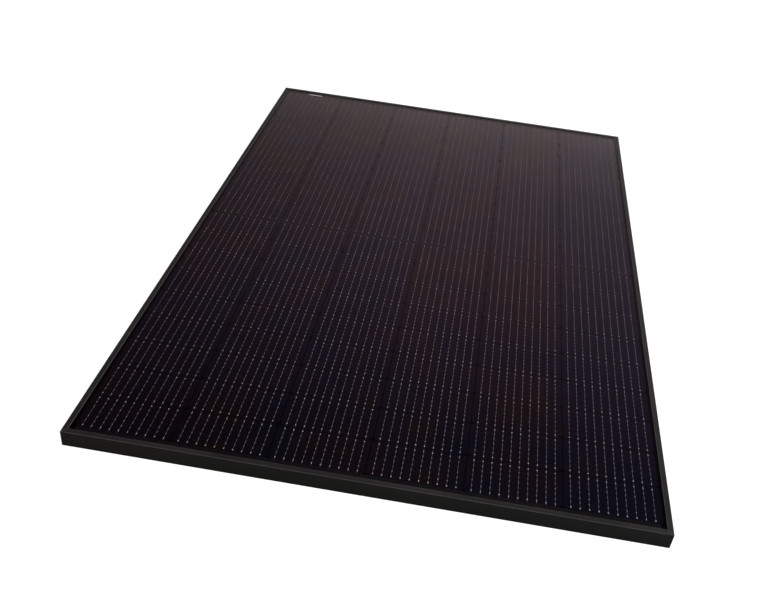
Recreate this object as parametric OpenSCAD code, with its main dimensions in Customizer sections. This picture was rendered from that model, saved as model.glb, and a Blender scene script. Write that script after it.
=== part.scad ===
// Framed photovoltaic module with half-cut cells, split junction boxes and mitred frame.
// Millimetres. Origin at the centre of the frame's underside, +Z out of the glass, +Y along the length.

/* [Module] */
// Width over the frame
module_w = 1134; // [1100:1:1400]
// Length over the frame
module_l = 1722; // [1690:1:2100]
// Height of the frame
frame_h = 35; // [34:1:42]

/* [Frame] */
// Thickness of the rails' outer walls, lips and flanges
rail_t = 1.5; // [1.2:0.1:2]
// Width of the lip that covers the edge of the glass
lip_w = 11; // [10:0.5:13]
// Width of the bottom flange on the two long rails
long_flange_w = 35; // [30:1:40]
// Width of the bottom flange on the two short rails
short_flange_w = 25; // [20:1:30]
// Height of the channel that holds the laminate
channel_h = 5.2; // [5.2:0.1:6.5]
// Chamfer along the rails' outer top edge
edge_chamfer = 0.5; // [0.2:0.1:0.8]

/* [Mounting holes] */
// Length of a mounting slot along the rail
slot_l = 14; // [10:1:18]
// Width of a mounting slot
slot_w = 9; // [7:0.5:10]
// Distance between the outer pair of slots on a rail
outer_slot_pitch = 1400; // [1300:10:1600]
// Distance between the inner pair of slots on a rail
inner_slot_pitch = 990; // [800:10:1100]
// Distance of the holes from the rail's outer face
hole_inset = 20; // [19:0.5:23]
// Diameter of a grounding hole
ground_d = 4.2; // [4.2:0.1:6]
// Distance between the grounding holes on a rail
ground_pitch = 1200; // [1150:10:1250]
// Length of a drain slot
drain_l = 16; // [10:1:20]
// Width of a drain slot
drain_w = 3; // [2:0.5:4]

/* [Cells] */
// Width of a half-cut cell
cell_w = 182; // [156:1:182]
// Height of a half-cut cell
cell_h = 91; // [78:0.5:91]
// Corner chamfer on one long side of a half-cut cell
cell_chamfer = 7; // [0.5:0.5:9]
// Columns of cells
columns = 6; // [6:2:6]
// Cells in one string, which is half a column
string_cells = 9; // [6:1:9]
// Gap between columns
column_gap = 2; // [1.5:0.5:4]
// Gap between the cells of a string
cell_gap = 1.5; // [1.5:0.1:2.5]
// Gap between the two halves of the module
centre_gap = 9; // [8:0.5:14]
// Wires on a cell
wires = 10; // [5:1:12]
// Distance between wires
wire_pitch = 17.3; // [10:0.1:17.6]
// Width of an interconnect wire
wire_w = 0.35; // [0.2:0.05:0.4]

/* [Junction boxes] */
// Size of a box along the module's width
box_w = 70; // [64:1:84]
// Size of a box along the module's length
box_l = 60; // [54:1:72]
// Height of a box base
box_h = 16; // [15.5:0.5:16]
// Wall thickness of a box
box_wall = 2.2; // [1.8:0.1:2.5]
// Diameter of the output lead that the gland takes
lead_d = 6; // [5:0.1:7.2]
// Distance that a gland nut and its ring move out in four turns
gland_travel = 6; // [4:0.5:6]

/* [Hidden] */
$fn = 64;
EPS = 0.01;
SIDES = [-1, 1];

// Laminate layers, from the sealant up
seal_gap = 0.35;
backsheet_t = 0.3;
rear_film_t = 0.42;
cell_t = 0.18;
front_film_t = 0.45;
glass_t = 3.2;
channel_top = frame_h - rail_t;
shelf_top = channel_top - channel_h;
backsheet_z = shelf_top + seal_gap;
rear_film_z = backsheet_z + backsheet_t;
cell_z = rear_film_z + rear_film_t;
front_film_z = cell_z + cell_t;
glass_z = front_film_z + front_film_t;
glass_top = glass_z + glass_t;
laminate_inset = 3.5;
laminate_w = module_w - 2 * laminate_inset;
laminate_l = module_l - 2 * laminate_inset;

// Rails and their hollow chamber
chamber_in = lip_w - rail_t;
chamber_floor = rail_t;
chamber_top = shelf_top - rail_t;
bead_h = 1.2;
key_gap = 0.15;
key_leg = 60;
key_wall = 2.5;
drain_corner = 90;

// Cell grid
column_pitch = cell_w + column_gap;
row_pitch = cell_h + cell_gap;
string_l = string_cells * cell_h + (string_cells - 1) * cell_gap;
half_start = centre_gap / 2;
half_end = half_start + string_l;

// Interconnect wires
wire_t = 0.3;
wire_clear = 0.02;
wire_groove = wire_w + 0.1;
wire_inset = 6.5;
ribbon_w = 6;
ribbon_reach = 2.5;
end_ribbon_y = half_end + ribbon_w;
centre_overhang = half_start - 1;
end_overhang = ribbon_w / 2 + ribbon_reach;
front_wire_z = front_film_z;
rear_wire_z = cell_z - wire_t;

// Cover strips and serial label
strip_t = 0.13;
strip_w = 12;
strip_z = glass_z - strip_t;
label_l = 45;
label_w = 6;
label_t = 0.06;
label_x = -0.405 * module_w;
label_y = end_ribbon_y + 0.5;

// Junction boxes stand on the boundaries between columns 1 and 2, 3 and 4, 5 and 6
box_pitch = 2 * column_pitch;
box_r = 4;
pad_t = 0.8;
brim_w = 4;
brim_t = 1.5;
base_top = backsheet_z - pad_t;
base_floor_t = 2;
cavity_top = base_top - base_floor_t;
base_bottom = base_top - box_h;
lid_t = 2;
lid_gap = 0.3;
recess_depth = 0.8;
recess_edge = 5;
rib_w = 2;
rib_pitch = 12;
lid_seat = 0.1;
lid_rim_h = 3;
lid_rim_t = 1.6;
clip_w = 10;
clip_h = 8;
clip_t = 1.5;
gasket_w = 1;
gasket_t = 0.8;
potting_bottom = base_bottom + 4;
plate_t = 1;
plate_w = 18;
plate_l = 30;
plate_x = 16;
plate_z = base_bottom + 9;
diode_y = 9;
diode_w = 10;
diode_l = 9;
diode_h = 4;
diode_lead_w = 6;
diode_lead_t = 0.6;
lead_out_w = 5;
lead_out_t = 0.3;
lead_out_x = column_pitch / 2 - wire_x(wires - 1);
lead_out_clear = 0.5;

// Cable glands, measured outward from the box wall
gland_z = base_bottom + 7;
boss_root = 0.4;
lead_end_room = 7;
boss_r = 6.5;
boss_bore_r = 5;
boss_len = 12;
seal_start = 2;
seal_len = 8;
seal_r = boss_bore_r - 0.05;
lead_bore_r = lead_d / 2 + 0.05;
lead_way_r = lead_bore_r + 0.25;
ring_start = seal_start + seal_len + 0.3;
ring_collar = boss_len + 0.3;
ring_end = ring_collar + 2.2;
ring_r = boss_bore_r - 0.3;
ring_collar_r = 6;
ring_bore_r = lead_bore_r + 0.35;
nut_start = brim_w + 0.5;
nut_bore_r = boss_r + 0.3;
nut_face = ring_end + 0.3;
nut_end = nut_face + 2.2;
nut_af = 15.5;
nut_hole_r = ring_bore_r + 0.2;

COLUMN_NUMBERS = [1 : columns];
HALVES = ["far", "near"];
BOXES = ["left", "middle", "right"];
GLANDS = ["left", "right"];
RAILS = ["left_rail", "right_rail", "near_rail", "far_rail"];
function names(prefix, list) = [for (item = list) str(prefix, item)];
function string_names(prefix) = [for (half = HALVES, n = COLUMN_NUMBERS) str(prefix, half, "_", n)];
function box_names(suffix) = [for (box = BOXES) str(box, suffix)];
function gland_names(suffix) = [for (side = GLANDS) str(side, suffix)];

FRAME_BLACK = [0.08, 0.08, 0.085];
CELL_BLUE = [0.09, 0.08, 0.11];
TINNED = [0.72, 0.72, 0.7];
BOX_BLACK = [0.05, 0.05, 0.05];

function column_x(n) = (n - (columns + 1) / 2) * column_pitch;
function wire_x(k) = (k - (wires - 1) / 2) * wire_pitch;
function box_x(i) = (i - 1) * box_pitch;
function row_y(k) = half_start + k * row_pitch;

// A block given by its corner and size, centred in X
module slab(w, l, z, t) {
    translate([-w / 2, -l / 2, z])
        cube([w, l, t]);
}

// A rectangle with true round corners
module round_rect(w, l, r) {
    square([w - 2 * r, l], center = true);
    square([w, l - 2 * r], center = true);
    for (sx = SIDES, sy = SIDES)
        translate([sx * (w / 2 - r), sy * (l / 2 - r)])
            circle(r);
}

// ---- Frame ----

// Section of a rail: x runs inward from the outer face, y is height
module rail_section(flange_w) {
    difference() {
        polygon([
            [0, 0],
            [flange_w, 0],
            [flange_w, rail_t + bead_h],
            [flange_w - rail_t, rail_t + bead_h],
            [flange_w - rail_t, rail_t],
            [lip_w, rail_t],
            [lip_w, shelf_top],
            [rail_t, shelf_top],
            [rail_t, channel_top],
            [lip_w, channel_top],
            [lip_w, frame_h - edge_chamfer / 2],
            [lip_w - edge_chamfer / 2, frame_h],
            [edge_chamfer, frame_h],
            [0, frame_h - edge_chamfer]
        ]);
        polygon([
            [rail_t, chamber_floor],
            [chamber_in, chamber_floor],
            [chamber_in, chamber_top],
            [rail_t, chamber_top]
        ]);
    }
}

// A rail along Y with its outer face at x = 0 and both ends mitred at 45 degrees
module mitred_rail(length, flange_w) {
    reach = flange_w + 5;
    intersection() {
        translate([0, length / 2, 0])
            rotate([90, 0, 0])
                linear_extrude(length)
                    rail_section(flange_w);
        translate([0, 0, -1])
            linear_extrude(frame_h + 2)
                polygon([
                    [0, -length / 2],
                    [reach, reach - length / 2],
                    [reach, length / 2 - reach],
                    [0, length / 2]
                ]);
    }
}

// A slot through the flange, long side along Y
module flange_slot(length, width) {
    for (end = SIDES)
        translate([0, end * (length - width) / 2, -1])
            cylinder(d = width, h = rail_t + 2);
    translate([-width / 2, -(length - width) / 2, -1])
        cube([width, length - width, rail_t + 2]);
}

// Mounting slots, grounding holes and drain slots of a long rail
module long_rail_holes() {
    for (end = SIDES) {
        for (pitch = [outer_slot_pitch, inner_slot_pitch])
            translate([hole_inset, end * pitch / 2, 0])
                flange_slot(slot_l, slot_w);
        translate([hole_inset, end * ground_pitch / 2, -1])
            cylinder(d = ground_d, h = rail_t + 2);
        translate([lip_w + drain_w, end * (module_l / 2 - drain_corner), 0])
            flange_slot(drain_l, drain_w);
    }
}

// side is -1 for the left rail and 1 for the right rail
module long_rail(side) {
    color(FRAME_BLACK)
        rotate([0, 0, side < 0 ? 0 : 180])
            translate([-module_w / 2, 0, 0])
                difference() {
                    mitred_rail(module_l, long_flange_w);
                    long_rail_holes();
                }
}

// side is -1 for the near rail and 1 for the far rail
module short_rail(side) {
    color(FRAME_BLACK)
        rotate([0, 0, side < 0 ? 90 : -90])
            translate([-module_l / 2, 0, 0])
                difference() {
                    mitred_rail(module_w, short_flange_w);
                    for (end = SIDES)
                        translate([lip_w + drain_w, end * (module_w / 2 - drain_corner), 0])
                            flange_slot(drain_l, drain_w);
                }
}

// One L-shaped key: a hollow-backed angle that fills both rails' chambers at a corner
module corner_key() {
    outer = rail_t + key_gap;
    inner = chamber_in - key_gap;
    low = chamber_floor + key_gap;
    tall = chamber_top - chamber_floor - 2 * key_gap;
    translate([0, 0, low])
        linear_extrude(tall)
            difference() {
                polygon([
                    [outer, outer],
                    [outer + key_leg, outer],
                    [outer + key_leg, inner],
                    [inner, inner],
                    [inner, outer + key_leg],
                    [outer, outer + key_leg]
                ]);
                for (swap = [false, true])
                    mirror(swap ? [1, -1] : [0, 0])
                        translate([inner + key_leg * 0.45, (outer + inner) / 2])
                            square([key_leg * 0.7, inner - outer - 2 * key_wall], center = true);
            }
}

module corner_keys() {
    color("silver")
        for (sx = [0, 1], sy = [0, 1])
            mirror([sx, 0, 0])
                mirror([0, sy, 0])
                    translate([-module_w / 2, -module_l / 2, 0])
                        corner_key();
}

// Ring of silicone that wraps the laminate's edge inside the rails' channel
module edge_sealant() {
    seal_in = lip_w - 0.5;
    color([0.03, 0.03, 0.03])
        difference() {
            slab(module_w - 2 * rail_t, module_l - 2 * rail_t, shelf_top, channel_h);
            slab(laminate_w, laminate_l, backsheet_z, glass_top - backsheet_z);
            slab(module_w - 2 * seal_in, module_l - 2 * seal_in, shelf_top - 1, channel_h + 2);
        }
}

// ---- Laminate ----

module front_glass() {
    color([0.6, 0.7, 0.75, 0.3])
        slab(laminate_w, laminate_l, glass_z, glass_t);
}

// Outline of a film with one groove for each wire in its edge at z = face, cut to z = face + depth
function groove_points(face, depth) = [
    for (n = COLUMN_NUMBERS, k = [0 : wires - 1])
        let (x = column_x(n) + wire_x(k), g = wire_groove / 2)
            each [[x - g, face], [x - g, face + depth], [x + g, face + depth], [x + g, face]]
];

module grooved_film(face, back, depth) {
    rotate([90, 0, 0])
        linear_extrude(laminate_l, center = true)
            polygon(concat(
                [[-laminate_w / 2, face]],
                groove_points(face, depth),
                [[laminate_w / 2, face], [laminate_w / 2, back], [-laminate_w / 2, back]]
            ));
}

module front_encapsulant() {
    color([0.8, 0.8, 0.8, 0.1])
        difference() {
            grooved_film(front_film_z, glass_z, wire_t + wire_clear);
            strip_bars();
        }
}

module rear_encapsulant() {
    color([0.8, 0.8, 0.8, 0.1])
        difference() {
            grooved_film(cell_z, rear_film_z, -wire_t - wire_clear);
            lead_out_slots();
        }
}

module backsheet() {
    color([0.04, 0.04, 0.045])
        difference() {
            slab(laminate_w, laminate_l, backsheet_z, backsheet_t);
            lead_out_slots();
        }
}

// One half-cut cell with its cut edge on y = 0 and its chamfered corners at y = cell_h
module half_cell() {
    linear_extrude(cell_t)
        polygon([
            [-cell_w / 2, 0],
            [cell_w / 2, 0],
            [cell_w / 2, cell_h - cell_chamfer],
            [cell_w / 2 - cell_chamfer, cell_h],
            [cell_chamfer - cell_w / 2, cell_h],
            [-cell_w / 2, cell_h - cell_chamfer]
        ]);
}

// Puts a string that starts at the module's centre and runs to +Y into its column and half
module place_string(half, n) {
    translate([column_x(n), 0, 0])
        mirror([0, half == "far" ? 0 : 1, 0])
            children();
}

module cell_string(half, n) {
    color(CELL_BLUE)
        place_string(half, n)
            for (k = [0 : string_cells - 1])
                translate([0, row_y(k), cell_z])
                    half_cell();
}

// Side view of a wire from the top of one cell down to the underside of the next, in y and z.
// It starts at y = top_start, leaves its cell's edge at y = edge and ends at y = under_end.
module linking_wire(top_start, edge, under_end) {
    wire_outline([
        [top_start, front_wire_z],
        [edge + 0.1 * cell_gap, front_wire_z],
        [edge + 0.6 * cell_gap, rear_wire_z],
        [under_end, rear_wire_z],
        [under_end, rear_wire_z + wire_t],
        [edge + 0.9 * cell_gap, rear_wire_z + wire_t],
        [edge + 0.4 * cell_gap, front_wire_z + wire_t],
        [top_start, front_wire_z + wire_t]
    ]);
}

// A straight wire on top of a cell or under it, from y = start to y = end
module straight_wire(start, end, z) {
    wire_outline([[start, z], [end, z], [end, z + wire_t], [start, z + wire_t]]);
}

// Extrudes a side view in (y, z) to the wire's width, centred on x = 0
module wire_outline(points) {
    rotate([90, 0, 90])
        linear_extrude(wire_w, center = true)
            polygon(points);
}

// All the pieces along one wire's line. A ribbon is joined to the first cell's underside, each cell's
// top to the next cell's underside, and the last cell's top to the other ribbon. The overhangs are how
// far the wire runs past the string's two ends onto the ribbons.
module wire_line(first_overhang, last_overhang) {
    last = string_cells - 1;
    straight_wire(half_start - first_overhang, row_y(0) + cell_h - wire_inset, rear_wire_z);
    for (k = [0 : last - 1])
        linking_wire(row_y(k) + wire_inset, row_y(k) + cell_h, row_y(k + 1) + cell_h - wire_inset);
    straight_wire(row_y(last) + wire_inset, half_end + last_overhang, front_wire_z);
}

// The strings of every second column run the other way round, so that two columns join in series
module wire_string(half, n) {
    turned = n % 2 == 0;
    color(TINNED)
        place_string(half, n)
            for (k = [0 : wires - 1])
                translate([wire_x(k), 0, 0])
                    if (turned)
                        translate([0, half_start + half_end, 0])
                            mirror([0, 1, 0])
                                wire_line(end_overhang, centre_overhang);
                    else
                        wire_line(centre_overhang, end_overhang);
}

// A bus ribbon in the cell layer under all the wires of columns first to last
module bus_ribbon(first, last, y) {
    half_span = wire_x(wires - 1) + ribbon_reach;
    start = column_x(first) - half_span;
    translate([start, y - ribbon_w / 2, cell_z])
        cube([column_x(last) + half_span - start, ribbon_w, cell_t]);
}

// Each end ribbon joins two columns
module end_ribbons() {
    color(TINNED)
        for (end = SIDES, n = [1 : 2 : columns - 1])
            bus_ribbon(n, n + 1, end * end_ribbon_y);
}

// The centre ribbons join the outer columns alone and the inner ones in pairs
module centre_ribbons() {
    color(TINNED) {
        bus_ribbon(1, 1, 0);
        for (n = [2 : 2 : columns - 2])
            bus_ribbon(n, n + 1, 0);
        bus_ribbon(columns, columns, 0);
    }
}

// Blades from the centre ribbons down to the terminal plates, grown by gap on every side
module lead_out_blades(bottom, top, gap) {
    for (i = [0 : len(BOXES) - 1], side = SIDES)
        translate([box_x(i) + side * lead_out_x, 0, bottom])
            linear_extrude(top - bottom)
                square([lead_out_w + 2 * gap, lead_out_t + 2 * gap], center = true);
}

module lead_outs() {
    color(TINNED)
        lead_out_blades(plate_z + plate_t, cell_z, 0);
}

module lead_out_slots() {
    lead_out_blades(base_bottom, front_film_z, lead_out_clear);
}

// The room that the cover strips take just under the glass
module strip_bars() {
    for (row = [-1, 0, 1])
        translate([0, row * (end_ribbon_y + 0.5), 0])
            slab(module_w - 2 * lip_w - 20, row == 0 ? centre_gap - 1 : strip_w, strip_z, strip_t);
}

module label_block() {
    translate([label_x, label_y, 0])
        slab(label_l, label_w, glass_z - label_t, label_t);
}

module cover_strips() {
    color([0.03, 0.03, 0.035])
        difference() {
            strip_bars();
            label_block();
        }
}

module serial_label() {
    color("white")
        label_block();
}

// ---- Junction boxes ----

// The part of a box outline that lies inside it by the given distance
module box_outline(inset) {
    round_rect(box_w - 2 * inset, box_l - 2 * inset, box_r - inset / 2);
}

// Carries a gland's pieces to the box wall that faces side, with +X pointing outward
module at_gland(side) {
    translate([side * (box_pitch + box_w / 2), 0, gland_z])
        mirror([side < 0 ? 1 : 0, 0, 0])
            children();
}

// A round piece on the gland's axis, from start to end
module gland_rod(start, end, r, sides = 64) {
    translate([start, 0, 0])
        rotate([0, 90, 0])
            cylinder(h = end - start, r = r, $fn = sides);
}

module gasket_ring(extra) {
    linear_extrude(gasket_t + extra)
        difference() {
            box_outline(box_wall / 2 - gasket_w / 2);
            box_outline(box_wall / 2 + gasket_w / 2);
        }
}

// The base's walls and floor with a brim that lies against the backsheet, open at the bottom
module box_shell() {
    difference() {
        union() {
            translate([0, 0, base_bottom])
                linear_extrude(box_h)
                    box_outline(0);
            translate([0, 0, base_top - brim_t])
                linear_extrude(brim_t)
                    box_outline(-brim_w);
        }
        translate([0, 0, base_bottom - 1])
            linear_extrude(cavity_top - base_bottom + 1)
                box_outline(box_wall);
        translate([0, 0, base_bottom - EPS])
            gasket_ring(EPS);
    }
}

// i counts the boxes from the left. The two outer ones have a boss for a gland.
module box_base(i) {
    side = i - 1;
    color(BOX_BLACK)
        difference() {
            union() {
                translate([box_x(i), 0, 0])
                    box_shell();
                if (side != 0)
                    at_gland(side)
                        gland_rod(-boss_root, boss_len, boss_r);
            }
            lead_out_slots();
            if (side != 0)
                at_gland(side) {
                    gland_rod(seal_start, boss_len + 1, boss_bore_r);
                    gland_rod(-box_wall - 1, seal_start + 1, lead_way_r);
                }
        }
}

// The lid's outer plate, with its underside sunk between ribs
module lid_plate() {
    difference() {
        linear_extrude(lid_t)
            box_outline(0);
        translate([0, 0, -1])
            linear_extrude(recess_depth + 1)
                difference() {
                    box_outline(recess_edge);
                    for (k = [-2 : 2])
                        translate([k * rib_pitch, 0])
                            square([rib_w, box_l], center = true);
                }
    }
}

// A plate under the base with a rim that enters it and two clips that run up outside it
module box_lid(i) {
    rim_out = box_wall + lid_gap;
    color(BOX_BLACK)
        translate([box_x(i), 0, base_bottom - lid_t - lid_seat]) {
            lid_plate();
            translate([0, 0, lid_t - lid_seat])
                linear_extrude(lid_rim_h)
                    difference() {
                        box_outline(rim_out);
                        box_outline(rim_out + lid_rim_t);
                    }
            for (end = SIDES) {
                translate([0, end * (box_l / 2 + lid_gap + clip_t / 2), 0])
                    linear_extrude(clip_h)
                        square([clip_w, clip_t], center = true);
                translate([0, end * (box_l / 2 + lid_gap / 2), 0])
                    linear_extrude(lid_t)
                        square([clip_w, lid_gap + clip_t], center = true);
            }
        }
}

module terminal_plates(i) {
    color("peru")
        for (side = SIDES)
            translate([box_x(i) + side * plate_x, 0, plate_z])
                linear_extrude(plate_t)
                    square([plate_w, plate_l], center = true);
}

// A flat diode that bridges the two plates, one lead on each
module bypass_diode(i) {
    lead_end = plate_x - plate_w / 2 + 4;
    color([0.12, 0.12, 0.12])
        translate([box_x(i), diode_y, plate_z + plate_t]) {
            linear_extrude(diode_h)
                square([diode_w, diode_l], center = true);
            linear_extrude(diode_lead_t)
                square([2 * lead_end, diode_lead_w], center = true);
        }
}

module lid_gaskets() {
    color([0.15, 0.15, 0.16])
        for (i = [0 : len(BOXES) - 1])
            translate([box_x(i), 0, base_bottom])
                gasket_ring(0);
}

// Silicone around the plates and the diode, with a tunnel for the lead's end in the outer boxes
module box_potting() {
    color([0.2, 0.2, 0.2])
        for (i = [0 : len(BOXES) - 1])
            difference() {
                translate([box_x(i), 0, potting_bottom])
                    linear_extrude(cavity_top - potting_bottom)
                        box_outline(box_wall);
                terminal_plates(i);
                bypass_diode(i);
                lead_out_blades(plate_z + plate_t, cavity_top + 1, 0);
                if (i != 1)
                    at_gland(i - 1)
                        gland_rod(-box_wall - lead_end_room, 0, lead_way_r);
            }
}

module box_adhesive() {
    color([0.6, 0.6, 0.6])
        difference() {
            for (i = [0 : len(BOXES) - 1])
                translate([box_x(i), 0, base_top])
                    linear_extrude(pad_t)
                        box_outline(1 - brim_w);
            lead_out_slots();
        }
}

module gland_seal(side) {
    color([0.1, 0.1, 0.1])
        at_gland(side)
            difference() {
                gland_rod(seal_start, seal_start + seal_len, seal_r);
                gland_rod(seal_start - 1, seal_start + seal_len + 1, lead_bore_r);
            }
}

module gland_ring(side) {
    color([0.3, 0.3, 0.3])
        at_gland(side)
            difference() {
                union() {
                    gland_rod(ring_start, ring_end, ring_r);
                    gland_rod(ring_collar, ring_end, ring_collar_r);
                }
                gland_rod(ring_start - 1, ring_end + 1, ring_bore_r);
            }
}

module gland_nut(side) {
    color(BOX_BLACK)
        at_gland(side)
            difference() {
                gland_rod(nut_start, nut_end, nut_af / sqrt(3), 6);
                gland_rod(nut_start - 1, nut_face, nut_bore_r);
                gland_rod(nut_face - 1, nut_end + 1, nut_hole_r);
            }
}

long_rail(-1);  // left_rail
long_rail(1);  // right_rail
short_rail(-1);  // near_rail
short_rail(1);  // far_rail
corner_keys();
edge_sealant();
front_glass();
front_encapsulant();
rear_encapsulant();
backsheet();
for (half = HALVES, n = COLUMN_NUMBERS) {
    cell_string(half, n);
    wire_string(half, n);
}
end_ribbons();
centre_ribbons();
lead_outs();
cover_strips();
serial_label();
for (i = [0 : len(BOXES) - 1]) {
    box_base(i);
    box_lid(i);
    terminal_plates(i);
    bypass_diode(i);
}
lid_gaskets();
box_potting();
box_adhesive();
for (i = [0, 1]) {
    gland_seal(SIDES[i]);
    gland_ring(SIDES[i]);
    gland_nut(SIDES[i]);
}
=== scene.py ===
"""Looks for the framed solar panel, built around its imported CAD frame. Metres, +Z out of the glass."""

import math

import bmesh
import bpy
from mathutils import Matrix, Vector


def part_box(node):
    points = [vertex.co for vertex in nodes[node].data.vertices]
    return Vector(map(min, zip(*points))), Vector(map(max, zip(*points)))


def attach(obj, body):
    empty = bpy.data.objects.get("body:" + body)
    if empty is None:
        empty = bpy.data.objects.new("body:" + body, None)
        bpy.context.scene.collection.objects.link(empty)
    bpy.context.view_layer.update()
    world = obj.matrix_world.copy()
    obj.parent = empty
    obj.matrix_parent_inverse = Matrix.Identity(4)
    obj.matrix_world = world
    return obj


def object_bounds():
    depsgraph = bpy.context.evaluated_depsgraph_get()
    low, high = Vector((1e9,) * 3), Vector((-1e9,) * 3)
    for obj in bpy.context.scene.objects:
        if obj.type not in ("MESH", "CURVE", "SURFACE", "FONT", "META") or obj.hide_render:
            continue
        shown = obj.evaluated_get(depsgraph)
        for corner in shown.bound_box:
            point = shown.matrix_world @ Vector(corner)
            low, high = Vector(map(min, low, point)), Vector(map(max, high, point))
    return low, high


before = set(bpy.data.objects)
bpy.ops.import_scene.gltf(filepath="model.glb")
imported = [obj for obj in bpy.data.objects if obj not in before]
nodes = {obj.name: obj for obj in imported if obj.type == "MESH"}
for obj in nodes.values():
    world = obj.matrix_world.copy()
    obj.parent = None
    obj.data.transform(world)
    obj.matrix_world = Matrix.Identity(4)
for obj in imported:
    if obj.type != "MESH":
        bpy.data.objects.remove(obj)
cad_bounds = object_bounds()

MM = 0.001
MODULE = "module"
COLUMNS = 6
HALVES = ("far", "near")
STRINGS = [f"{half}_{n}" for half in HALVES for n in range(1, COLUMNS + 1)]
BOXES = ("left", "middle", "right")
GLANDS = ("left", "right")

# Cell layout, the same for every string
COLUMN_PITCH = 184 * MM
ROW_PITCH = 92.5 * MM
FINGER_PITCH = 1.3 * MM
FINGER_WIDTH = 0.06 * MM
STRING_CELLS = 9
CELL_GAP = 1.5 * MM
WIRES = 10
WIRE_PITCH = 17.3 * MM
PADS_ALONG = 7
PAD_INSET = 6.5 * MM
PAD_LIFT = 0.01 * MM
PAD_THICKNESS = 0.03 * MM
PAD_TAPER = 0.92
PAD_CORNER = 0.25

# Stripes drawn on the silicon under the wires (wider and lighter than real busbars, a painted highlight in
# place of the wires' glints), and the two sizes of solder pad: (across, along) the wire
BUSBAR_AND_GLINT_WIDTH = 0.9 * MM
END_PAD = (1.6 * MM, 3.2 * MM)
SMALL_PAD = (1.2 * MM, 2.2 * MM)

# Gap left round the clear films, whose faces otherwise lie exactly on the cells' and the glass's
FILM_GAP = 0.01 * MM


# ---- Camera, floor and light ----

CAMERA_PLACE = (0.1142, -1.9904, 1.2440)
CAMERA_TURN = (54.219, -5.763, 7.520)
CAMERA_LENS = 41.74
CAMERA_SHIFT = (-0.0304, 0.0113)
SENSOR_WIDTH = 36.0
NEAREST_SEEN = 0.05

FLOOR_HALF = 12.0
FLOOR_DROP = 0.5 * MM
FLOOR_PAINT = (0.20, 0.20, 0.20, 1)
UNDERSIDE_LIGHT = 1.1

# Colour of the room's light, by the z of the ray's direction
ROOM_LIGHT = (
    (0.00, (0.60, 0.58, 0.56)),
    (0.385, (0.49, 0.39, 0.39)),
    (0.41, (0.312, 0.245, 0.25)),
    (0.46, (0.237, 0.165, 0.187)),
    (0.52, (0.203, 0.134, 0.164)),
    (0.60, (0.127, 0.083, 0.116)),
    (0.69, (0.044, 0.035, 0.048)),
    (0.80, (0.05, 0.05, 0.06)),
    (1.00, (0.30, 0.30, 0.30)),
)

# How strong that light is, by the ray's direction: (from, to) of the axis, then (from, to) of the strength
LEFT_SIDE = ((-0.30, -0.05), (0.45, 1.0))
RIGHT_SIDE = ((0.25, 0.50), (1.0, 2.6))
FRONT_SIDE = ((-0.2, 0.2), (0.12, 1.0))


def make_camera():
    data = bpy.data.cameras.new("camera")
    data.sensor_width = SENSOR_WIDTH
    data.lens = CAMERA_LENS
    data.shift_x, data.shift_y = CAMERA_SHIFT
    data.clip_start = NEAREST_SEEN
    camera = bpy.data.objects.new("camera", data)
    camera.location = CAMERA_PLACE
    camera.rotation_euler = [math.radians(turn) for turn in CAMERA_TURN]
    bpy.context.scene.collection.objects.link(camera)
    bpy.context.scene.camera = camera


def add(tree, kind, inputs=None, **settings):
    """A new shader node. inputs holds values, or the output sockets that feed them."""
    made = tree.nodes.new(kind)
    for name, value in settings.items():
        setattr(made, name, value)
    for name, value in (inputs or {}).items():
        if isinstance(value, bpy.types.NodeSocket):
            tree.links.new(value, made.inputs[name])
        else:
            made.inputs[name].default_value = value
    return made


def ramp(tree, factor, stops, interpolation="LINEAR"):
    """A colour ramp's output. stops are (position, (r, g, b)) pairs."""
    made = tree.nodes.new("ShaderNodeValToRGB")
    made.color_ramp.interpolation = interpolation
    elements = made.color_ramp.elements
    while len(elements) < len(stops):
        elements.new(0.5)
    for element, (position, colour) in zip(elements, stops):
        element.position = position
        element.color = (*colour, 1.0)
    tree.links.new(factor, made.inputs["Fac"])
    return made.outputs["Color"]


def maths(tree, operation, a, b=0.5, clamp=False):
    """The result of a Math node whose inputs are numbers or sockets."""
    made = add(tree, "ShaderNodeMath", {0: a, 1: b}, operation=operation, use_clamp=clamp)
    return made.outputs[0]


def remap(tree, value, source, result):
    """value mapped from one (low, high) pair to another, and held inside it."""
    inputs = {"Value": value, 1: source[0], 2: source[1], 3: result[0], 4: result[1]}
    return add(tree, "ShaderNodeMapRange", inputs).outputs[0]


def between(tree, value, low, high):
    """value from 0..1 mapped to low..high."""
    return remap(tree, value, (0.0, 1.0), (low, high))


def mix(tree, share, first, second):
    """The colour that goes from first to second as share goes from 0 to 1."""
    inputs = {0: share, 6: first, 7: second}
    return add(tree, "ShaderNodeMix", inputs, data_type="RGBA").outputs[2]


def normal_z(tree):
    """The upward part of the surface's normal."""
    normal = add(tree, "ShaderNodeNewGeometry").outputs["Normal"]
    return add(tree, "ShaderNodeSeparateXYZ", {0: normal}).outputs["Z"]


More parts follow.
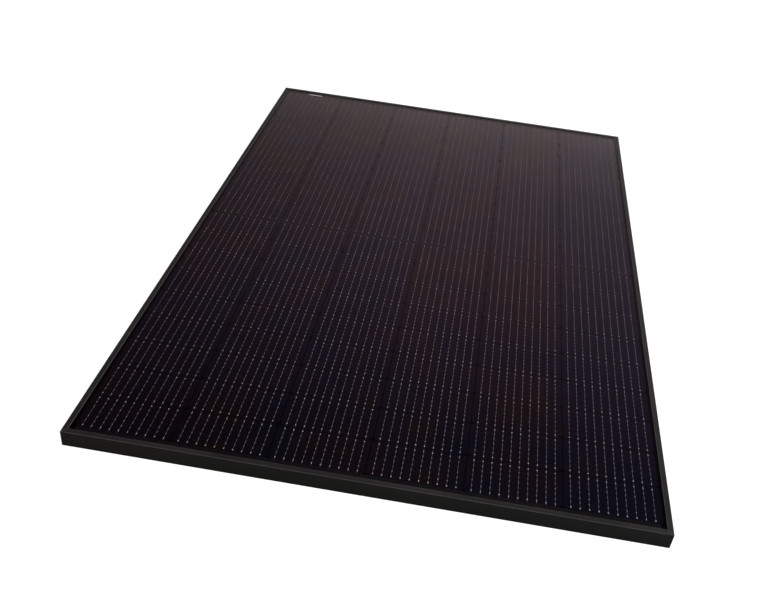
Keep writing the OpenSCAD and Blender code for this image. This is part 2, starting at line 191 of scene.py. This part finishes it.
def make_world():
    """A white backdrop for the eye, and a dim room for reflections and for the light on the module."""
    world = bpy.data.worlds.new("studio")
    bpy.context.scene.world = world
    world.use_nodes = True
    tree = world.node_tree
    tree.nodes.clear()
    direction = add(tree, "ShaderNodeTexCoord").outputs["Generated"]
    parts = add(tree, "ShaderNodeSeparateXYZ", {0: direction}).outputs
    room = ramp(tree, parts["Z"], ROOM_LIGHT)
    left = remap(tree, parts["X"], *LEFT_SIDE)
    right = remap(tree, parts["X"], *RIGHT_SIDE)
    front = remap(tree, parts["Y"], *FRONT_SIDE)
    strength = maths(tree, "MULTIPLY", maths(tree, "MULTIPLY", left, right), front)
    seen = add(tree, "ShaderNodeLightPath").outputs["Is Camera Ray"]
    backdrop = add(tree, "ShaderNodeBackground", {"Color": (1, 1, 1, 1), "Strength": 1.0})
    lighting = add(tree, "ShaderNodeBackground", {"Color": room, "Strength": strength})
    both = add(tree, "ShaderNodeMixShader", {0: seen, 1: lighting.outputs[0], 2: backdrop.outputs[0]})
    add(tree, "ShaderNodeOutputWorld", {"Surface": both.outputs[0]})


def make_softbox(name, place, size, power, aim=(0.0, 0.0, 0.0), colour=(1.0, 1.0, 1.0)):
    """A large rectangular lamp that points at aim. It leaves no shape of its own in the glass."""
    data = bpy.data.lights.new(name, "AREA")
    data.shape = "RECTANGLE"
    data.size, data.size_y = size
    data.energy = power
    data.color = colour
    lamp = bpy.data.objects.new(name, data)
    lamp.location = place
    lamp.rotation_euler = (Vector(aim) - Vector(place)).to_track_quat("-Z", "Y").to_euler()
    lamp.visible_glossy = False
    bpy.context.scene.collection.objects.link(lamp)


def make_floor():
    """A floor that is white to the eye from above, clear from below, and lights the module's underside."""
    corners = [(x * FLOOR_HALF, y * FLOOR_HALF, 0) for x, y in ((-1, -1), (1, -1), (1, 1), (-1, 1))]
    mesh = bpy.data.meshes.new("studio_floor")
    mesh.from_pydata(corners, [], [(0, 1, 2, 3)])
    floor = bpy.data.objects.new("studio_floor", mesh)
    floor.location.z = -FLOOR_DROP
    bpy.context.scene.collection.objects.link(floor)
    material = bpy.data.materials.new("studio_floor")
    material.use_nodes = True
    tree = material.node_tree
    tree.nodes.clear()
    seen = add(tree, "ShaderNodeLightPath").outputs["Is Camera Ray"]
    point = add(tree, "ShaderNodeTexCoord").outputs["Object"]
    offset = add(tree, "ShaderNodeVectorMath", {0: point}, operation="ABSOLUTE").outputs[0]
    apart = add(tree, "ShaderNodeSeparateXYZ", {0: offset}).outputs
    under_x = maths(tree, "LESS_THAN", apart["X"], cad_bounds[1][0])
    under_y = maths(tree, "LESS_THAN", apart["Y"], cad_bounds[1][1])
    under = between(tree, maths(tree, "MULTIPLY", under_x, under_y), 0.0, UNDERSIDE_LIGHT)
    paint = add(tree, "ShaderNodeBsdfDiffuse", {"Color": FLOOR_PAINT})
    strength = maths(tree, "MAXIMUM", seen, under)
    glow = add(tree, "ShaderNodeEmission", {"Color": (1, 1, 1, 1), "Strength": strength})
    lit = add(tree, "ShaderNodeAddShader", {0: paint.outputs[0], 1: glow.outputs[0]})
    clear = add(tree, "ShaderNodeBsdfTransparent")
    behind = add(tree, "ShaderNodeNewGeometry").outputs["Backfacing"]
    both = add(tree, "ShaderNodeMixShader", {0: behind, 1: lit.outputs[0], 2: clear.outputs[0]})
    add(tree, "ShaderNodeOutputMaterial", {"Surface": both.outputs[0]})
    mesh.materials.append(material)


# ---- Materials ----

# Painted highlight: sharp edges are drawn towards pale grey in place of glints on the bevels, on the rails
# and on the box plastic.
EDGE_HIGHLIGHT_CONTRAST = 20.0
RAIL_HIGHLIGHT_WIDTH = 1.3 * MM
RAIL_EDGE_HIGHLIGHT = (0.15, 0.15, 0.155, 1)
# Dust on the rails' upward faces, which is also a painted sheen: it lightens the tops in place of the
# lamp's reflection on the lips.
RAIL_DUST_AND_SHEEN = (0.052, 0.051, 0.055, 1)
RAIL_DUST_AND_SHEEN_SHARE = 0.30
# The same painted edge highlight for moulded plastic.
PLASTIC_HIGHLIGHT_WIDTH = 0.5 * MM
PLASTIC_EDGE_HIGHLIGHT = (0.2, 0.2, 0.2, 1)
GLASS_IOR = 1.45

# Shares of the broad drift, the smaller patches and each cell's own shade in the silicon's colour
DRIFT_SHARE = 0.50
PATCH_SHARE = 0.48
CELL_SHARE = 0.03

# The silicon turns bluer from this x to the right edge
BLUE_FROM = 0.30
BLUE_RATE = 0.9


def new_material(name):
    """An empty node material and its tree."""
    material = bpy.data.materials.new(name)
    material.use_nodes = True
    material.node_tree.nodes.clear()
    return material, material.node_tree


def finish_material(tree, inputs):
    """Ends a tree in a Principled shader with those inputs, and returns the shader."""
    shader = add(tree, "ShaderNodeBsdfPrincipled", inputs)
    add(tree, "ShaderNodeOutputMaterial", {"Surface": shader.outputs[0]})
    return shader


def place(tree, scale=(1, 1, 1)):
    """The point in the row frame, in metres, with each axis multiplied by scale."""
    point = add(tree, "ShaderNodeTexCoord").outputs["Object"]
    return add(tree, "ShaderNodeVectorMath", {0: point, 1: scale}, operation="MULTIPLY").outputs[0]


def noise(tree, vector, scale, detail=4.0, roughness=0.5):
    """A noise value around 0.5. scale is in features to a metre where vector is in metres."""
    inputs = {"Vector": vector, "Scale": scale, "Detail": detail, "Roughness": roughness}
    return add(tree, "ShaderNodeTexNoise", inputs).outputs["Fac"]


def bump(tree, height, distance, strength=1.0):
    inputs = {"Height": height, "Distance": distance, "Strength": strength}
    return add(tree, "ShaderNodeBump", inputs).outputs["Normal"]


def edge_highlight_mask(tree, width):
    """Near 1 along sharp edges and 0 on flat faces: the mask of the painted edge highlight."""
    round_normal = add(tree, "ShaderNodeBevel", {"Radius": width}, samples=4).outputs["Normal"]
    flat_normal = add(tree, "ShaderNodeNewGeometry").outputs["Normal"]
    along = add(tree, "ShaderNodeVectorMath", {0: round_normal, 1: flat_normal}, operation="DOT_PRODUCT")
    turned = maths(tree, "SUBTRACT", 1.0, along.outputs["Value"])
    return maths(tree, "MULTIPLY", turned, EDGE_HIGHLIGHT_CONTRAST, clamp=True)


def anodised(name, grain):
    """Black anodised aluminium with fine extrusion lines, a painted highlight on sharp edges, and dust
    with a painted sheen on upward faces. grain holds each axis's frequency factor.
    """
    material, tree = new_material(name)
    lines = noise(tree, place(tree, grain), 1.0, 3.0)
    cloud = noise(tree, place(tree), 9.0, 5.0)
    bright = between(tree, noise(tree, place(tree), 60.0), 0.5, 1.0)
    # Painted highlight: edges go towards pale grey in place of the lamps' glints on the bevels.
    edge_lit = maths(tree, "MULTIPLY", edge_highlight_mask(tree, RAIL_HIGHLIGHT_WIDTH), bright)
    base = ramp(tree, cloud, ((0.3, (0.0115, 0.0108, 0.0098)), (0.7, (0.0160, 0.0152, 0.0140))))
    # Dust and painted sheen: upward faces are lighter, partly standing in for the lamp's reflection on the
    # lips.
    upward = between(tree, normal_z(tree), 0.0, 1.0)
    dust_and_sheen_share = maths(tree, "MULTIPLY", upward, between(tree, cloud, 0.0, RAIL_DUST_AND_SHEEN_SHARE))
    dusted_and_sheened = mix(tree, dust_and_sheen_share, base, RAIL_DUST_AND_SHEEN)
    rough = maths(tree, "ADD", between(tree, lines, -0.05, 0.05), between(tree, cloud, 0.32, 0.44))
    finish_material(tree, {
        "Base Color": mix(tree, edge_lit, dusted_and_sheened, RAIL_EDGE_HIGHLIGHT),
        "Roughness": rough,
        "Specular IOR Level": 0.5,
        "Normal": bump(tree, lines, 0.02 * MM, 0.5),
    })
    return material


def mill_aluminium():
    material, tree = new_material("mill_aluminium")
    streaks = noise(tree, place(tree, (900, 900, 40)), 1.0, 3.0)
    finish_material(tree, {
        "Base Color": ramp(tree, streaks, ((0.3, (0.52, 0.52, 0.53)), (0.7, (0.68, 0.68, 0.69)))),
        "Metallic": 1.0,
        "Roughness": between(tree, streaks, 0.3, 0.5),
        "Normal": bump(tree, streaks, 0.02 * MM, 0.4),
    })
    return material


def solar_glass():
    """Clear cover glass with a gloss on its front faces that grows at low angles."""
    material, tree = new_material("solar_glass")
    film = noise(tree, place(tree), 5.0, 6.0, 0.6)
    gloss = add(tree, "ShaderNodeBsdfGlossy", {
        "Color": (1, 1, 1, 1),
        "Roughness": between(tree, film, 0.02, 0.05),
    })
    clear = add(tree, "ShaderNodeBsdfTransparent", {"Color": (0.985, 0.99, 0.985, 1)})
    share = add(tree, "ShaderNodeFresnel", {"IOR": GLASS_IOR}).outputs[0]
    facing = maths(tree, "SUBTRACT", 1.0, add(tree, "ShaderNodeNewGeometry").outputs["Backfacing"])
    both = add(tree, "ShaderNodeMixShader", {
        0: maths(tree, "MULTIPLY", share, facing),
        1: clear.outputs[0],
        2: gloss.outputs[0],
    })
    add(tree, "ShaderNodeOutputMaterial", {"Surface": both.outputs[0]})
    return material


def clear_film():
    """The encapsulant, clear but for a faint uneven tint."""
    material, tree = new_material("clear_film")
    haze = noise(tree, place(tree), 30.0, 3.0)
    tint = ramp(tree, haze, ((0.3, (0.975, 0.975, 0.97)), (0.7, (0.99, 0.99, 0.985))))
    clear = add(tree, "ShaderNodeBsdfTransparent", {"Color": tint})
    add(tree, "ShaderNodeOutputMaterial", {"Surface": clear.outputs[0]})
    return material


def cell_number(tree, pitch_x, pitch_y):
    """A steady random value for each half cell, from its place in the row frame."""
    point = place(tree, (1 / pitch_x, 1 / pitch_y, 0))
    step = add(tree, "ShaderNodeVectorMath", {0: point}, operation="FLOOR").outputs[0]
    return add(tree, "ShaderNodeTexWhiteNoise", {"Vector": step}, noise_dimensions="3D").outputs["Value"]


def stripes(tree, axis, pitch, width, block=None):
    """1 on thin stripes that repeat along an axis. With a block the pattern is centred in each block."""
    along = add(tree, "ShaderNodeSeparateXYZ", {0: place(tree)}).outputs[axis]
    if block:
        share = maths(tree, "FRACT", maths(tree, "DIVIDE", along, block))
        along = maths(tree, "MULTIPLY", maths(tree, "SUBTRACT", share, 0.5), block)
    share = maths(tree, "FRACT", maths(tree, "DIVIDE", along, pitch))
    distance = maths(tree, "ABSOLUTE", maths(tree, "SUBTRACT", share, 0.5))
    return maths(tree, "LESS_THAN", distance, 0.5 * width / pitch)


def silicon():
    """Coated silicon: near black, with drifts of violet, brown and blue, fingers, and stripes under the
    wires that are partly real busbars and partly a painted highlight for the wires' glints.
    """
    material, tree = new_material("silicon")
    random = cell_number(tree, COLUMN_PITCH, ROW_PITCH)
    drift = noise(tree, place(tree), 4.2, 5.0, 0.6)
    patch = noise(tree, place(tree), 11.0, 3.0, 0.6)
    broad = maths(tree, "MULTIPLY", drift, DRIFT_SHARE)
    local = maths(tree, "MULTIPLY", patch, PATCH_SHARE)
    own = maths(tree, "MULTIPLY", random, CELL_SHARE)
    mixed = maths(tree, "ADD", maths(tree, "ADD", broad, local), own)
    across = add(tree, "ShaderNodeSeparateXYZ", {0: place(tree)}).outputs["X"]
    past = maths(tree, "MAXIMUM", maths(tree, "SUBTRACT", across, BLUE_FROM), 0.0)
    mixed = maths(tree, "SUBTRACT", mixed, maths(tree, "MULTIPLY", past, BLUE_RATE))
    hue = ramp(tree, mixed, (
        (0.40, (0.0013, 0.0015, 0.0046)),
        (0.47, (0.0019, 0.0012, 0.0038)),
        (0.54, (0.0024, 0.0012, 0.0028)),
        (0.62, (0.0032, 0.0016, 0.0016)),
    ))
    coating = ramp(tree, mixed, (
        (0.40, (0.14, 0.22, 1.0)),
        (0.47, (0.50, 0.22, 1.0)),
        (0.54, (0.85, 0.28, 0.60)),
        (0.62, (1.0, 0.40, 0.22)),
    ))
    finger = stripes(tree, "Y", FINGER_PITCH, FINGER_WIDTH)
    # Busbars widened and lightened into a painted highlight that stands in for the wires' glints.
    busbar_and_glint = stripes(tree, "X", WIRE_PITCH, BUSBAR_AND_GLINT_WIDTH, COLUMN_PITCH)
    lined = mix(tree, finger, hue, (0.012, 0.012, 0.013, 1))
    finish_material(tree, {
        "Base Color": mix(tree, busbar_and_glint, lined, (0.010, 0.0095, 0.010, 1)),
        "Roughness": between(tree, patch, 0.16, 0.22),
        "Specular IOR Level": between(tree, busbar_and_glint, 0.60, 0.9),
        "Specular Tint": mix(tree, busbar_and_glint, coating, (1, 0.95, 0.95, 1)),
    })
    return material


def tinned():
    """Tinned copper wire and ribbon."""
    material, tree = new_material("tinned")
    dull = noise(tree, place(tree), 400.0, 3.0)
    finish_material(tree, {
        "Base Color": ramp(tree, dull, ((0.3, (0.20, 0.19, 0.19)), (0.7, (0.32, 0.31, 0.31)))),
        "Metallic": 0.5,
        "Roughness": between(tree, dull, 0.35, 0.5),
    })
    return material


def solder():
    """Solder pads, brighter and rougher than the wires."""
    material, tree = new_material("solder")
    dull = noise(tree, place(tree), 900.0, 3.0)
    finish_material(tree, {
        "Base Color": ramp(tree, dull, ((0.3, (0.66, 0.63, 0.64)), (0.7, (0.86, 0.83, 0.84)))),
        "Metallic": 0.1,
        "Roughness": between(tree, dull, 0.5, 0.7),
    })
    return material


def polymer(name, dark, light, rough, grain, depth, specular=0.5, highlight_share=0.0):
    """Moulded plastic, rubber or silicone in two close shades.

    grain is its features to a metre, depth their height in mm, and the last argument how far sharp edges
    go
    towards a pale grey: a painted highlight.
    """
    material, tree = new_material(name)
    fine = noise(tree, place(tree), grain, 3.0)
    broad = noise(tree, place(tree), 25.0, 4.0)
    colour = ramp(tree, broad, ((0.3, dark), (0.7, light)))
    # Painted highlight: sharp edges are lightened towards pale grey.
    if highlight_share:
        share = maths(tree, "MULTIPLY", edge_highlight_mask(tree, PLASTIC_HIGHLIGHT_WIDTH), highlight_share)
        colour = mix(tree, share, colour, PLASTIC_EDGE_HIGHLIGHT)
    finish_material(tree, {
        "Base Color": colour,
        "Roughness": between(tree, broad, rough - 0.06, rough + 0.06),
        "Specular IOR Level": specular,
        "Normal": bump(tree, fine, depth * MM, 0.6),
    })
    return material


def backsheet():
    """Rear film: matt black towards the cells, a satin charcoal on the outside."""
    material, tree = new_material("backsheet")
    weave = noise(tree, place(tree, (1, 0.25, 1)), 900.0, 3.0)
    broad = noise(tree, place(tree), 7.0, 4.0)
    inside = maths(tree, "GREATER_THAN", normal_z(tree), 0.0)
    outer = ramp(tree, broad, ((0.3, (0.020, 0.020, 0.021)), (0.7, (0.028, 0.028, 0.029))))
    finish_material(tree, {
        "Base Color": mix(tree, inside, outer, (0.004, 0.003, 0.0045, 1)),
        "Roughness": between(tree, broad, 0.42, 0.55),
        "Specular IOR Level": between(tree, inside, 0.5, 0.35),
        "Normal": bump(tree, weave, 0.02 * MM, 0.5),
    })
    return material


def copper():
    material, tree = new_material("copper")
    stain = noise(tree, place(tree), 160.0, 5.0)
    finish_material(tree, {
        "Base Color": ramp(tree, stain, ((0.3, (0.42, 0.19, 0.10)), (0.7, (0.70, 0.38, 0.24)))),
        "Metallic": 1.0,
        "Roughness": between(tree, stain, 0.25, 0.5),
        "Normal": bump(tree, stain, 0.02 * MM, 0.4),
    })
    return material


def paper():
    material, tree = new_material("label_paper")
    fibre = noise(tree, place(tree, (1, 3, 1)), 800.0, 4.0)
    finish_material(tree, {
        "Base Color": ramp(tree, fibre, ((0.3, (0.62, 0.62, 0.60)), (0.7, (0.78, 0.78, 0.75)))),
        "Roughness": between(tree, fibre, 0.7, 0.9),
        "Normal": bump(tree, fibre, 0.02 * MM, 0.4),
    })
    return material


def dress(material, *names):
    """Gives CAD nodes a material in their own slots."""
    for name in names:
        for slot in nodes[name].material_slots:
            slot.material = material


def draw_in(gap, *names):
    """Draws nodes' faces inwards by a hair.

    Films that lie exactly on the cells and the glass rendered with a false step in brightness.
    """
    for name in names:
        modifier = nodes[name].modifiers.new("draw_in", "DISPLACE")
        modifier.mid_level = 0.0
        modifier.strength = -gap


# ---- Solder pads ----


def pad_outline(width, length, corner):
    """Points of a rectangle with cut corners, centred on the origin."""
    x, y = width / 2, length / 2
    quarter = [(x, y - corner), (x - corner, y)]
    points = []
    for sx, sy in ((1, 1), (-1, 1), (-1, -1), (1, -1)):
        turn = quarter if sx * sy > 0 else quarter[::-1]
        points += [(sx * px, sy * py) for px, py in turn]
    return points


def add_pad(mesh, centre, size, thickness):
    """A thin closed plate on the cell's face."""
    outline = pad_outline(*size, PAD_CORNER * min(size))
    cx, cy, cz = centre
    low = [mesh.verts.new((cx + x, cy + y, cz)) for x, y in outline]
    top = [mesh.verts.new((cx + PAD_TAPER * x, cy + PAD_TAPER * y, cz + thickness)) for x, y in outline]
    mesh.faces.new(top)
    mesh.faces.new(low[::-1])
    count = len(outline)
    for i in range(count):
        j = (i + 1) % count
        mesh.faces.new((low[i], low[j], top[j], top[i]))


def make_pads(string, material):
    """Pads along every wire of a string: a long one at each end of a cell and small ones between."""
    low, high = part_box("cells_" + string)
    middle = (low.x + high.x) / 2
    cell_h = (high.y - low.y - (STRING_CELLS - 1) * CELL_GAP) / STRING_CELLS
    step = (cell_h - 2 * PAD_INSET) / (PADS_ALONG - 1)
    mesh = bmesh.new()
    for row in range(STRING_CELLS):
        start = low.y + row * (cell_h + CELL_GAP) + PAD_INSET
        for k in range(PADS_ALONG):
            size = END_PAD if k in (0, PADS_ALONG - 1) else SMALL_PAD
            for wire in range(WIRES):
                x = middle + (wire - (WIRES - 1) / 2) * WIRE_PITCH
                add_pad(mesh, (x, start + k * step, high.z + PAD_LIFT), size, PAD_THICKNESS)
    data = bpy.data.meshes.new("solder_pads_" + string)
    mesh.to_mesh(data)
    mesh.free()
    data.materials.append(material)
    pads = bpy.data.objects.new(data.name, data)
    bpy.context.scene.collection.objects.link(pads)
    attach(pads, MODULE)


# ---- Build ----

scene = bpy.context.scene
scene.view_settings.view_transform = "Standard"
make_camera()
make_world()
make_floor()
make_softbox("overhead_softbox", place=(1.4, -0.9, 2.9), size=(2.8, 3.0), power=95.0)
make_softbox("front_softbox", place=(-2.2, -2.4, 0.5), size=(1.5, 0.9), power=12.0,
             aim=(-0.5, -0.86, 0.0), colour=(1.0, 0.92, 0.78))

dress(anodised("anodised_along_y", (2500, 12, 2500)), "left_rail", "right_rail")
dress(anodised("anodised_along_x", (12, 2500, 2500)), "near_rail", "far_rail")
dress(mill_aluminium(), "corner_keys")
dress(solar_glass(), "front_glass")
dress(clear_film(), "front_encapsulant", "rear_encapsulant")
draw_in(FILM_GAP, "front_encapsulant", "rear_encapsulant")
dress(silicon(), *["cells_" + string for string in STRINGS])
dress(tinned(), "end_ribbons", "centre_ribbons", "lead_outs", *["wires_" + string for string in STRINGS])
dress(backsheet(), "backsheet")
cover_strip = polymer("cover_strip", (0.002, 0.002, 0.0025), (0.003, 0.003, 0.0035),
                      rough=0.2, grain=1500, depth=0.01, specular=0.6)
sealant = polymer("sealant", (0.012, 0.012, 0.012), (0.02, 0.02, 0.02),
                  rough=0.5, grain=300, depth=0.1)
dress(cover_strip, "cover_strips")
dress(paper(), "serial_label")
dress(sealant, "edge_sealant")

shell = polymer("box_plastic", (0.016, 0.016, 0.0165), (0.024, 0.024, 0.0245),
                rough=0.42, grain=2200, depth=0.06, highlight_share=0.4)
diode = polymer("diode_body", (0.02, 0.02, 0.02), (0.03, 0.03, 0.03),
                rough=0.5, grain=1200, depth=0.03)
plates = copper()
for box in BOXES:
    dress(shell, f"{box}_box_base", f"{box}_box_lid")
    dress(diode, f"{box}_bypass_diode")
    dress(plates, f"{box}_terminals")

ring = polymer("gland_plastic", (0.05, 0.05, 0.05), (0.08, 0.08, 0.08),
               rough=0.45, grain=900, depth=0.04)
rubber = polymer("rubber", (0.02, 0.02, 0.021), (0.035, 0.035, 0.036),
                 rough=0.75, grain=900, depth=0.05)
for side in GLANDS:
    dress(shell, f"{side}_gland_nut")
    dress(ring, f"{side}_gland_ring")
    dress(rubber, f"{side}_gland_seal")

potting = polymer("potting", (0.06, 0.06, 0.06), (0.09, 0.09, 0.09),
                  rough=0.35, grain=120, depth=0.2)
adhesive = polymer("adhesive", (0.42, 0.42, 0.40), (0.55, 0.55, 0.53),
                   rough=0.5, grain=200, depth=0.2)
dress(rubber, "lid_gaskets")
dress(potting, "box_potting")
dress(adhesive, "box_adhesive")

solder_material = solder()
for string in STRINGS:
    make_pads(string, solder_material)
